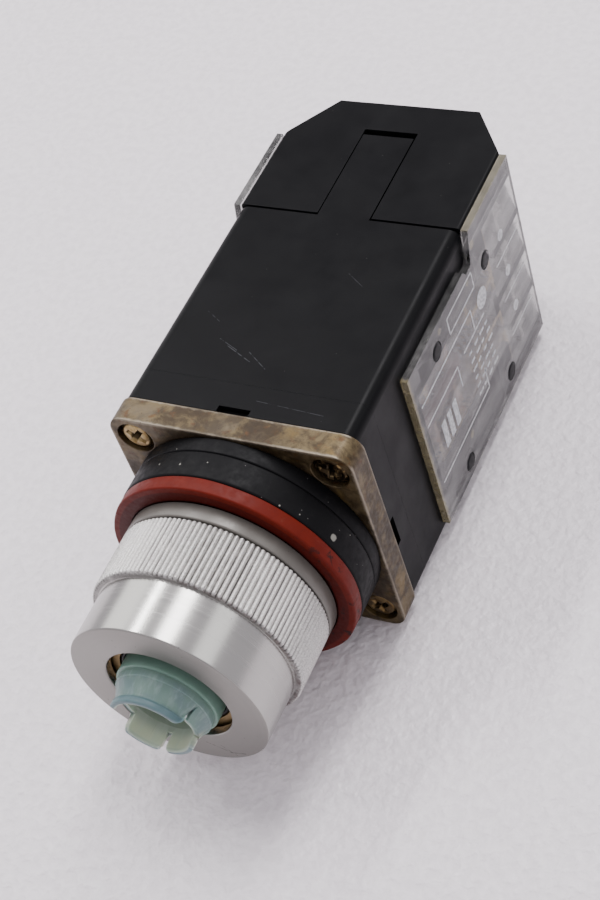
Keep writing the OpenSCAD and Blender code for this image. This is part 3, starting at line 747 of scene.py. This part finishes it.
def lathe(name, profile, segments, radii):
    """A ring turned from a profile with rounded corners, in millimetres."""
    bm = bmesh.new()
    lathe_into(bm, fillet(profile, radii), segments)
    return new_object(name, bm)


def move_new(bm, start, turn, axis, x=0.0, y=0.0, z=0.0):
    """Turns the vertices from that index on about an axis, and moves them by millimetres."""
    bm.verts.ensure_lookup_table()
    matrix = Matrix.Translation((x * MM, y * MM, z * MM)) @ Matrix.Rotation(math.radians(turn), 4, axis)
    bmesh.ops.transform(bm, matrix=matrix, verts=bm.verts[start:])


def finish_piece(piece, slot, body, *nodes, material=None):
    """Gives a new piece its material, from its slot unless one is given, and its body, and hides the CAD
    nodes that it replaces.
    """
    piece.data.materials.clear()
    piece.data.materials.append(material or finish_of(slot))
    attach(piece, body)
    if nodes:
        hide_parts(*nodes)


def combine(piece, other, operation):
    """Joins another object to the piece or cuts it out, as plain mesh, and removes the other object."""
    change = piece.modifiers.new("change", "BOOLEAN")
    change.operation = operation
    change.solver = "EXACT"
    change.use_self = operation == "DIFFERENCE"
    change.object = other
    bpy.context.view_layer.update()
    evaluated = piece.evaluated_get(bpy.context.evaluated_depsgraph_get())
    mesh = bpy.data.meshes.new_from_object(evaluated)
    piece.modifiers.clear()
    piece.data = mesh
    bpy.data.objects.remove(other)


def soften(node, width):
    """Rounds the sharp edges of a CAD node with modifiers. Its own mesh stays as it is."""
    cad = frame["nodes"][node]
    weld = cad.modifiers.new("weld", "WELD")
    weld.merge_threshold = 0.002 * MM
    flat = cad.modifiers.new("flat", "DECIMATE")
    flat.decimate_type = "DISSOLVE"
    flat.angle_limit = math.radians(0.5)
    bevel = cad.modifiers.new("bevel", "BEVEL")
    bevel.width = width * MM
    bevel.segments = 2
    bevel.limit_method = "ANGLE"
    bevel.angle_limit = math.radians(30)
    bevel.use_clamp_overlap = True
    shade = cad.modifiers.new("shade", "WEIGHTED_NORMAL")
    shade.mode = "FACE_AREA"
    shade.weight = 100
    for face in cad.data.polygons:
        face.use_smooth = True


# ---- Guard ring, washer, gasket and collar ----

TEETH = 124
KNURL_DEPTH = 0.38


def make_guard_ring():
    """The ring with its knurl cut into the mesh. No two teeth are quite the same depth."""
    low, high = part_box("guard_ring")
    front, rear = low.y / MM, high.y / MM
    knurl_r = high.x / MM
    band_r, bore_r, thread_r = 16.0, 10.1, 15.06
    knurl_front, lip_rear = -13.2, -20.8
    chamfer = 0.35
    root_r = band_r + 0.06
    outline = fillet([
        (bore_r, front), (band_r, front), (band_r, knurl_front), (knurl_r - chamfer, knurl_front),
        (knurl_r, knurl_front + chamfer), (knurl_r, rear), (thread_r, rear), (thread_r, lip_rear),
        (bore_r, lip_rear),
    ], [0.3, 0.3, 0.04, 0.06, 0.12, 0.3, 0.15, 0.1, 0.15], 5)
    knurled = [r > band_r + 0.05 for r, _ in outline]
    wander = random.Random(9)
    depths = [KNURL_DEPTH * wander.uniform(0.8, 1.15) for _ in range(TEETH)]

    def toothed(i, angle, radius):
        if not knurled[i]:
            return radius
        turn = (angle / (2 * math.pi) * TEETH) % TEETH
        wave = 0.5 - 0.5 * math.cos(2 * math.pi * turn)
        cut = depths[int(turn + 0.5) % TEETH] * (1 - wave ** 0.5)
        return max(radius - cut, root_r)

    bm = bmesh.new()
    lathe_into(bm, outline, TEETH * 8, shape=toothed)
    ring = new_object("guard_ring_knurled", bm, 50)
    finish_piece(ring, "turned_aluminium", "ring", "guard_ring")


def make_washer():
    """A turned disc whose rim reaches back over the rib of the gasket."""
    low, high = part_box("thrust_washer")
    front, rear, outer = low.y / MM, high.y / MM, high.x / MM
    inner, seat, rim_bore = 15.06, front + 1.5, 16.05
    profile = [
        (inner, front), (outer, front), (outer, rear), (rim_bore, rear), (rim_bore, seat), (inner, seat),
    ]
    washer = lathe("thrust_washer_disc", profile, 256, [0.1, 0.3, 0.1, 0.05, 0.05, 0.1])
    finish_piece(washer, "grey_washer", "washer", "thrust_washer")


def make_gasket():
    """The soft ring, with a slightly wavy rim and a raised rib round the bushing."""
    low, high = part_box("panel_gasket")
    front, rear, outer = low.y / MM, high.y / MM, high.x / MM
    inner, rib_r, seat_y, seat_r = 15.05, 15.6, 0.3, 17.35
    outline = fillet([
        (inner, front), (rib_r, front), (rib_r + 0.3, seat_y), (seat_r, seat_y), (seat_r + 0.1, 0.0),
        (outer, 0.0), (outer, rear), (inner, rear),
    ], [0.1, 0.15, 0.1, 0.1, 0.1, 0.35, 0.15, 0.1])
    rim = [r > seat_r - 0.35 for r, _ in outline]
    wander = random.Random(4)
    waves = [(k, wander.uniform(0, 6.28), 0.7 * wander.uniform(0.02, 0.05)) for k in (2, 3, 5, 9, 14)]
    highest = 0.11

    def uneven(i, angle, radius):
        if not rim[i]:
            return radius
        return radius - highest + sum(size * math.sin(k * angle + phase) for k, phase, size in waves)

    bm = bmesh.new()
    lathe_into(bm, outline, 256, shape=uneven)
    finish_piece(new_object("gasket_ring", bm), "red_gasket", "housing", "panel_gasket")


def make_collar():
    """The two black layers behind the gasket."""
    inner = 15.05
    layers = (("spacer_ring", "collar_front_ring", 0.45), ("flange_ring", "collar_rear_ring", 0.3))
    for node, name, round_front in layers:
        low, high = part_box(node)
        front, rear, outer = low.y / MM, high.y / MM, high.x / MM
        profile = [(inner, front), (outer, front), (outer, rear), (inner, rear)]
        ring = lathe(name, profile, 256, [0.1, round_front, 0.3, 0.1])
        finish_piece(ring, "black_collar", "housing", node)


def make_seal():
    """The thin black ring round the button."""
    low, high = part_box("plunger_seal")
    front, rear, outer = low.y / MM, high.y / MM, high.x / MM
    inner = 8.26
    profile = [(inner, front), (outer, front), (outer, rear), (inner, rear)]
    seal = lathe("plunger_seal_lip", profile, 160, [0.4, 0.5, 0.1, 0.1])
    finish_piece(seal, "black_rubber", "housing", "plunger_seal")


# ---- Button ----

# Each lens finger: its first and last angle, the radii of its two corners, and how far its front edge
# stays behind the tip at both ends
FINGERS = [
    (26, 155, (1.4, 0.8), (0, 0)), (207, 263, (0.8, 0.8), (0, 0)), (271, 334, (0.8, 0.8), (0, 0)),
    (334, 382, (0.1, 0.5), (2.0, 1.5)),
]


def make_button():
    """The translucent tube: a turned body with a neck ring, joined to the sleeve of lens fingers."""
    low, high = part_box("plunger")
    tip, end = low.y / MM, high.y / MM
    shoulder = -23.1
    neck_front = shoulder - 1.2
    bore, body_r, neck_r = 5.8, 8.2, 7.7
    flange_front, flange_rear, flange_r = 0.4, 2.4, 11.2
    step_y, step_r = 18.15, 7.8
    groove_front, groove_rear, groove_r = 20.4, 21.1, 7.4
    outline = fillet([
        (bore, neck_front), (neck_r, neck_front), (neck_r, shoulder), (body_r, shoulder),
        (body_r, flange_front), (flange_r, flange_front), (flange_r, flange_rear), (body_r, flange_rear),
        (body_r, step_y), (step_r, step_y), (step_r, groove_front), (groove_r, groove_front),
        (groove_r, groove_rear), (step_r, groove_rear), (step_r, end), (bore, end),
    ], [0.05, 0.12, 0.1, 0.3, 0.1, 0.2, 0.2, 0.1, 0.1, 0.05, 0.05, 0.05, 0.05, 0.05, 0.2, 0.2], 5)
    bm = bmesh.new()
    lathe_into(bm, outline, 160)
    tube = new_object("button_tube", bm)
    combine(tube, make_sleeve(tip, neck_front, bore + 0.05), "UNION")
    finish_piece(tube, "teal_plastic", "button", "plunger")


def make_sleeve(tip, neck_front, bore):
    """The lens fingers on a short tapered sleeve: three with a flared lip, and one that is short."""
    sleeve_r, finger_r, lip_r = 7.55, 6.5, 6.8
    slit_rear = neck_front - 0.9
    rear = neck_front + 0.3
    lip_rear, taper_front = tip + 0.9, tip + 1.4
    pulled = 2.4
    section = fillet([
        (bore, rear), (bore, tip), (lip_r, tip), (lip_r, lip_rear), (finger_r, taper_front),
        (sleeve_r, neck_front), (sleeve_r, rear),
    ], [0, 0.25, 0.3, 0.25, 0.4, 0.1, 0], 3)
    middle_r = (bore + lip_r) / 2
    bm = bmesh.new()
    rings = []

    def add_ring(angle, front):
        """One section of the sleeve, which ends at that front: on its lip, or behind it on its taper."""
        a = math.radians(angle)
        share = (neck_front - front) / (neck_front - taper_front)
        widest = sleeve_r - (sleeve_r - finger_r) * min(share, 1.0)
        ring = []
        for radius, y in section:
            if front > taper_front:
                radius = min(radius, widest) if y < front + 0.3 else radius
                y = max(y, front)
            else:
                y += (front - tip) * max(0.0, min(1.0, (tip + pulled - y) / pulled))
            ring.append(bm.verts.new((radius * MM * math.cos(a), y * MM, radius * MM * math.sin(a))))
        rings.append(ring)

    for (first, last, corners, fronts), following in zip(FINGERS, FINGERS[1:] + FINGERS[:1]):
        count = max(14, int((last - first) / 2))
        for k in range(count + 1):
            angle = first + (last - first) * k / count
            corner = corners[0] if 2 * k < count else corners[1]
            to_side = math.radians(min(angle - first, last - angle)) * middle_r
            inset = max(corner - to_side, 0.0)
            rounded = corner - math.sqrt(max(corner ** 2 - inset ** 2, 0.0))
            add_ring(angle, tip + fronts[0] + (fronts[1] - fronts[0]) * k / count + rounded)
        gap = (following[0] - last) % 360
        steps = max(4, int(gap / 4))
        for k in range(steps + 1 if gap > 0 else 0):
            add_ring(last + gap * k / steps, slit_rear)
    skin(bm, rings + rings[:1])
    bmesh.ops.remove_doubles(bm, verts=bm.verts, dist=0.0005 * MM)
    bmesh.ops.dissolve_degenerate(bm, edges=bm.edges, dist=0.0005 * MM)
    return new_object("sleeve", bm)


# ---- Screws and pins ----

def phillips_screw(bm, x, z, front, shaft_end, turn):
    """A pan head and its shank, along the Y axis."""
    shank_r, head_rear = 1.7, front + 1.55
    start = len(bm.verts)
    outline = fillet([
        (AXIS_R, front), (1.3, front), (2.3, front + 0.16), (SCREW_HEAD_R, front + 0.75),
        (SCREW_HEAD_R, head_rear), (shank_r, head_rear), (shank_r, shaft_end - 0.6),
        (shank_r - 0.5, shaft_end), (AXIS_R, shaft_end),
    ], [0, 0.4, 0.5, 0.25, 0.1, 0, 0, 0, 0], 3)
    lathe_into(bm, outline, 48)
    move_new(bm, start, turn, "Y", x, 0, z)


def cross_cutter(x, z, front, turn):
    """The tapered cross that a Phillips driver fills."""
    bm = bmesh.new()
    for quarter in (0, 90):
        start = len(bm.verts)
        for v in bmesh.ops.create_cube(bm, size=1)["verts"]:
            length, y, width = (2.3, front + 1.3, 0.7) if v.co.y > 0 else (3.9, front - 0.4, 1.05)
            v.co = Vector((v.co.x * length, y, v.co.z * width)) * MM
        move_new(bm, start, turn + quarter, "Y", x, 0, z)
    return new_object("cross", bm)


def make_plate_screws():
    """Four screws as one piece, each with its cross turned its own way."""
    low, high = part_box("plate_screws")
    middle_x = (high.x + low.x) / 2 / MM
    reach = (high.x - low.x) / 2 / MM - SCREW_HEAD_R
    front, end = low.y / MM, high.y / MM
    turns = {(-1, 1): 38, (1, 1): 12, (1, -1): 63, (-1, -1): 25}
    bm = bmesh.new()
    for (sx, sz), turn in turns.items():
        phillips_screw(bm, middle_x + sx * reach, sz * reach, front, end, turn)
    screws = new_object("base_plate_screws", bm, 40)
    for (sx, sz), turn in turns.items():
        combine(screws, cross_cutter(middle_x + sx * reach, sz * reach, front, turn), "DIFFERENCE")
    finish_piece(screws, "brass_screw", "housing", "plate_screws")


# The pins of each cover, as (y, z)
PIN_SPOTS = [(39.5, 11.9), (60.4, 11.3), (40.3, -15.6), (60.4, -15.1)]


def make_pins():
    """The domed heads of the eight pins, four on each cover."""
    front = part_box("cover_pins")[1].x / MM
    pin_r, rear = 1.58, front - 5.8
    outline = fillet([
        (AXIS_R, front), (1.1, front), (pin_r, front - 0.25), (pin_r, rear), (AXIS_R, rear),
    ], [0, 0.5, 0.15, 0, 0], 3)
    bm = bmesh.new()
    for side in (-1, 1):
        for y, z in PIN_SPOTS:
            start = len(bm.verts)
            lathe_into(bm, outline, 40)
            move_new(bm, start, -90 * side, "Z", 0, y, z)
    pins = new_object("cover_pins_domed", bm)
    finish_piece(pins, "black_pin", "housing", "cover_pins")


# ---- Springs ----

def make_spring(name, node, mean_r, wire_r, turns, x=0.0):
    """A fine round-wire helix in place of a CAD spring."""
    low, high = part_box(node)
    bm = bmesh.new()
    sides, per_turn = 10, 40
    steps = int(turns * per_turn)
    first, last = low.y + wire_r * MM, high.y - wire_r * MM
    rings = []
    for i in range(steps + 1):
        t = i / steps
        a = 2 * math.pi * turns * t
        y = first + (last - first) * t
        ring = []
        for j in range(sides):
            b = 2 * math.pi * j / sides
            r = (mean_r + wire_r * math.cos(b)) * MM
            place = (x * MM + r * math.cos(a), y + wire_r * MM * math.sin(b), r * math.sin(a))
            ring.append(bm.verts.new(place))
        rings.append(ring)
    skin(bm, rings)
    bm.faces.new(rings[0])
    bm.faces.new(list(reversed(rings[-1])))
    spring = new_object(name, bm, 60)
    finish_piece(spring, "spring_steel", "housing", node)
    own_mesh(spring)


# ---- Print on the clear covers ----

def print_block(bm, side, outline):
    """A thin raised block of ink on the outer face of a cover, from its outline in (y, z), in metres."""
    face_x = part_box("clear_cover_right")[1].x
    thick = 0.03 * MM
    sunk = thick * 0.2
    lower = [bm.verts.new((side * (face_x - sunk), y, z)) for y, z in outline]
    upper = [bm.verts.new((side * (face_x + thick), y, z)) for y, z in outline]
    bm.faces.new(lower)
    bm.faces.new(upper)
    skin(bm, [lower, upper])


def print_strip(bm, side, y0, z0, y1, z1, width):
    start, end = Vector((y0, z0)) * MM, Vector((y1, z1)) * MM
    across = (end - start).orthogonal().normalized() * (width * MM / 2)
    print_block(bm, side, [start - across, end - across, end + across, start + across])


def print_dot(bm, side, y, z, radius, count=40):
    angles = [2 * math.pi * k / count for k in range(count)]
    outline = [((y + radius * math.cos(a)) * MM, (z + radius * math.sin(a)) * MM) for a in angles]
    print_block(bm, side, outline)


def make_print(side, name):
    """Generic line art: a diagram of plain rules, dashes, bars and dots, without lettering."""
    bm = bmesh.new()
    rules = [
        (31.0, 8.2, 52.0, 8.2, 0.35), (31.0, 3.6, 44.0, 3.6, 0.35), (47.0, 3.6, 56.0, 3.6, 0.35),
        (31.0, -9.8, 52.0, -9.8, 0.35), (52.0, 8.2, 52.0, 3.6, 0.35), (44.0, 3.6, 44.0, -1.0, 0.3),
        (52.0, -9.8, 52.0, -5.2, 0.35), (63.5, 6.5, 73.0, 6.5, 0.3), (63.5, -1.5, 73.0, -1.5, 0.3),
        (63.5, -9.5, 73.0, -9.5, 0.3),
    ]
    for rule in rules:
        print_strip(bm, side, *rule)
    for row in range(6):
        for column in range(4):
            y, z = 48.4 + column * 2.3, 1.6 - row * 1.9
            print_strip(bm, side, y, z, y + 1.1 + 0.35 * ((row + column) % 3), z, 0.55)
    low_y, high_y, low_z, high_z = 44.5, 55.0, 10.6, 13.8
    for y0, z0, y1, z1 in (
        (low_y, low_z, high_y, low_z), (low_y, high_z, high_y, high_z),
        (low_y, low_z, low_y, high_z), (high_y, low_z, high_y, high_z),
    ):
        print_strip(bm, side, y0, z0, y1, z1, 0.3)
    for column in range(3):
        y = 35.6 + column * 2.3
        print_strip(bm, side, y, -0.2, y, -5.6, 1.5)
    print_dot(bm, side, 56.5, 6.6, 1.9)
    for z in (10.5, 2.6, -5.6):
        print_dot(bm, side, 67.0, z, 1.0)
    piece = new_object(name, bm)
    finish_piece(piece, "clear_cover", "housing", material=ink)


# ---- Lamp ----

def make_bulb():
    """A thin glass envelope, open at the base."""
    low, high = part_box("lamp_bulb")
    rear, front = high.y / MM, low.y / MM
    outer_r, base_r, wall = high.x / MM - 0.01, 4.2, 0.35
    inner_r = outer_r - wall
    dome_y = front + outer_r
    arc = [math.radians(a) for a in range(0, 91, 9)]

    def dome(radius, angles):
        return [(max(radius * math.cos(a), AXIS_R), dome_y - radius * math.sin(a)) for a in angles]

    outline = [(base_r, rear), (outer_r, rear - 2.2), *dome(outer_r, arc)]
    outline += [*dome(inner_r, reversed(arc)), (inner_r, rear - 2.0), (base_r - wall, rear)]
    bm = bmesh.new()
    lathe_into(bm, outline, 64)
    finish_piece(new_object("bulb_glass", bm, 60), "lamp_glass", "housing", "lamp_bulb")


# ---- Assembly ----

# How far the axes of the carrier springs stand from the button's axis
CONTACT_X = 16.5

make_camera()
make_lights()
ink = white_ink()

floor_bm = bmesh.new()
bmesh.ops.create_grid(floor_bm, x_segments=1, y_segments=1, size=FLOOR_HALF)
floor = new_object("floor", floor_bm)
floor.location.z = FLOOR_Z
floor.data.materials.append(foam_floor())

for part in frame["record"]["subparts"]:
    cad_node = frame["nodes"][part["node"]]
    cad_node.data.materials.clear()
    cad_node.data.materials.append(finish_of(part["material_slot"]))

SOFT_EDGES = {
    "base_plate": 0.35, "front_adapter": 0.22, "main_housing": 0.22, "rear_housing": 0.22,
    "contact_block_right": 0.15, "contact_block_left": 0.15,
    "clear_cover_right": 0.18, "clear_cover_left": 0.18, "threaded_bushing": 0.12,
    "terminal_clamps": 0.12, "terminal_screws": 0.15, "supply_screws": 0.15, "supply_terminals": 0.1,
    "fixed_contacts_right": 0.08, "fixed_contacts_left": 0.08, "contact_carrier_right": 0.15,
    "contact_carrier_left": 0.15, "contact_bridges_right": 0.08, "contact_bridges_left": 0.08,
    "actuator": 0.2, "transformer_core": 0.15, "transformer_bobbin": 0.1, "primary_winding": 0.3,
    "secondary_winding": 0.3,
}
for cad_name, edge in SOFT_EDGES.items():
    soften(cad_name, edge)

make_guard_ring()
make_washer()
make_gasket()
make_collar()
make_seal()
make_button()
make_plate_screws()
make_pins()
make_bulb()
make_spring("return_spring_wire", "return_spring",
            mean_r=9.9, wire_r=0.5, turns=5)
for label, sign in (("right", 1), ("left", -1)):
    make_spring(f"carrier_spring_wire_{label}", f"carrier_spring_{label}",
                mean_r=1.5, wire_r=0.3, turns=6, x=sign * CONTACT_X)
    make_print(sign, f"cover_print_{label}")
